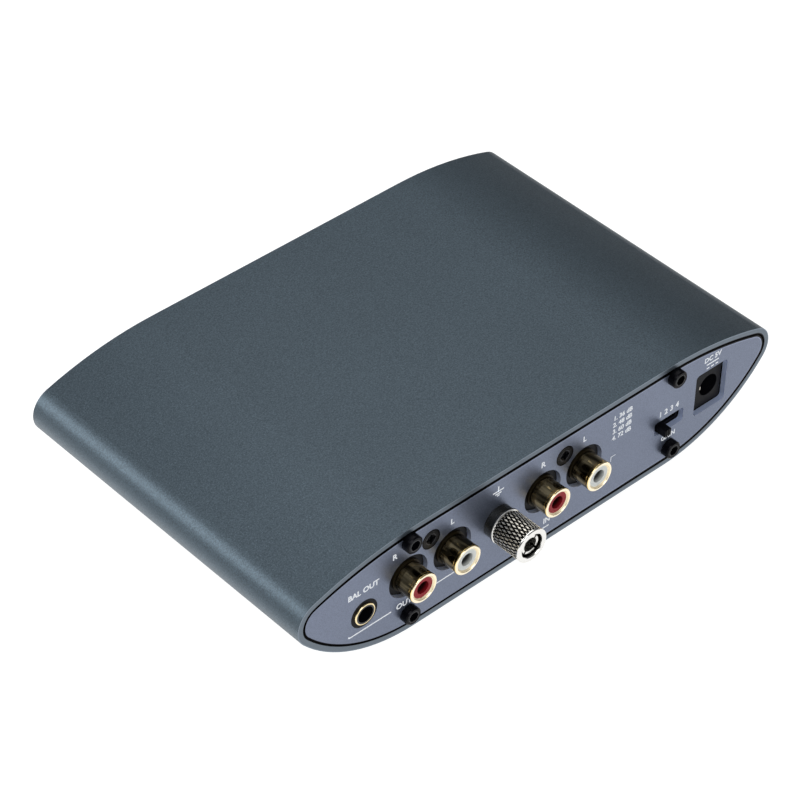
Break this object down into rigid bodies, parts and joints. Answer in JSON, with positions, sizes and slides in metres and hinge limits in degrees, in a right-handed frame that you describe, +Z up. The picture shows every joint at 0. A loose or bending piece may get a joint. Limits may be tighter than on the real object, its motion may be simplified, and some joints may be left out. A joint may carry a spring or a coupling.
{
  "type": "phono preamp",
  "caption": "Flat lens-section phono preamplifier with gold phono sockets, ground post, gain switch, balanced and power sockets, and a front load dial.",
  "frame": {"origin": "on the resting surface under the feet, at the middle of the whole box", "axes": "+X to the right seen from the front, +Y towards the rear sockets, +Z up"},
  "size_m": [0.158, 0.117, 0.0349],
  "materials": {
    "anodised_case": "bead-blasted dark slate blue-grey anodising",
    "anodised_panel": "smooth grey-violet anodising",
    "seal_rubber": "black seal",
    "foot_rubber": "black rubber",
    "black_steel": "black-oxide screws",
    "black_plastic": "moulded black plastic",
    "gold": "polished gold plating",
    "red_plastic": "red socket insulator",
    "white_plastic": "white socket insulator",
    "contact_metal": "plated spring metal",
    "nickel": "nickel plating",
    "dial_metal": "turned and anodised",
    "steel": "plain metal",
    "button_metal": "anodised",
    "board_green": "solder-masked board",
    "light_clear": "clear light guide",
    "light_white": "light source",
    "capacitor_film": "film capacitor",
    "capacitor_can": "sleeved can",
    "chip_black": "moulded package"
  },
  "bodies": {
    "case": {"amplifier_chips": "chip_black", "balanced_contacts": "contact_metal", "balanced_socket_body": "black_plastic", "balanced_socket_ring": "gold", "board_header": "black_plastic", "case_sleeve": "anodised_case", "control_chip": "chip_black", "film_capacitors": "capacitor_film", "filter_switch": "black_plastic", "front_board": "board_green", "front_panel": "anodised_panel", "front_seal": "seal_rubber", "gain_switch_base": "black_plastic", "gain_switch_cover": "contact_metal", "ground_collar": "nickel", "ground_lug": "contact_metal", "ground_nut": "contact_metal", "ground_stud": "nickel", "indicator_lights": "light_white", "input_left_contact": "contact_metal", "input_left_insulator": "white_plastic", "input_left_shell": "gold", "input_right_contact": "contact_metal", "input_right_insulator": "red_plastic", "input_right_shell": "gold", "input_socket_housing": "black_plastic", "jack_screws": "black_steel", "light_guides": "light_clear", "load_switch": "steel", "load_switch_nut": "steel", "main_board": "board_green", "mute_relays": "chip_black", "output_left_contact": "contact_metal", "output_left_insulator": "white_plastic", "output_left_shell": "gold", "output_right_contact": "contact_metal", "output_right_insulator": "red_plastic", "output_right_shell": "gold", "output_socket_housing": "black_plastic", "power_inductor": "chip_black", "power_shield": "steel", "power_socket_body": "black_plastic", "power_socket_pin": "contact_metal", "power_socket_spring": "contact_metal", "power_switch": "black_plastic", "rear_panel": "anodised_panel", "rear_panel_screws": "black_steel", "rear_seal": "seal_rubber", "rubber_feet": "foot_rubber", "supply_capacitors": "capacitor_can"},
    "gain_slider": {"gain_lever": "black_plastic"},
    "ground_clamp": {"ground_washer": "nickel"},
    "ground_knob": {"ground_knob": "nickel"},
    "load_dial": {"load_dial": "dial_metal", "load_shaft": "steel"},
    "power_button": {"power_button": "button_metal", "power_plunger": "black_plastic"},
    "filter_button": {"filter_button": "button_metal", "filter_plunger": "black_plastic"}
  },
  "joints": [
    {"name": "gain_slide", "type": "slide", "parent": "case", "child": "gain_slider", "axis": [-1, 0, 0], "range_m": [0, 0.006]},
    {"name": "ground_clamp_travel", "type": "slide", "parent": "case", "child": "ground_clamp", "axis": [0, 1, 0], "range_m": [0, 0.0024]},
    {"name": "ground_knob_turn", "type": "hinge", "parent": "ground_clamp", "child": "ground_knob", "pos_m": [0.0161, 0.0535, 0.0196], "axis": [0, 1, 0], "range_deg": [0, 1080]},
    {"name": "load_dial_turn", "type": "hinge", "parent": "case", "child": "load_dial", "pos_m": [0, -0.0559, 0.0185], "axis": [0, 1, 0], "range_deg": [-90, 90]},
    {"name": "power_button_press", "type": "slide", "parent": "case", "child": "power_button", "axis": [0, 1, 0], "range_m": [0, 0.0007], "stiffness_N_per_m": 600, "springref_m": -0.0005},
    {"name": "filter_button_press", "type": "slide", "parent": "case", "child": "filter_button", "axis": [0, 1, 0], "range_m": [0, 0.0007], "stiffness_N_per_m": 600, "springref_m": -0.0005}
  ],
  "couplings": [
    {"joint": "ground_knob_turn", "follows": "ground_clamp_travel", "rad_per_m": 7854}
  ]
}
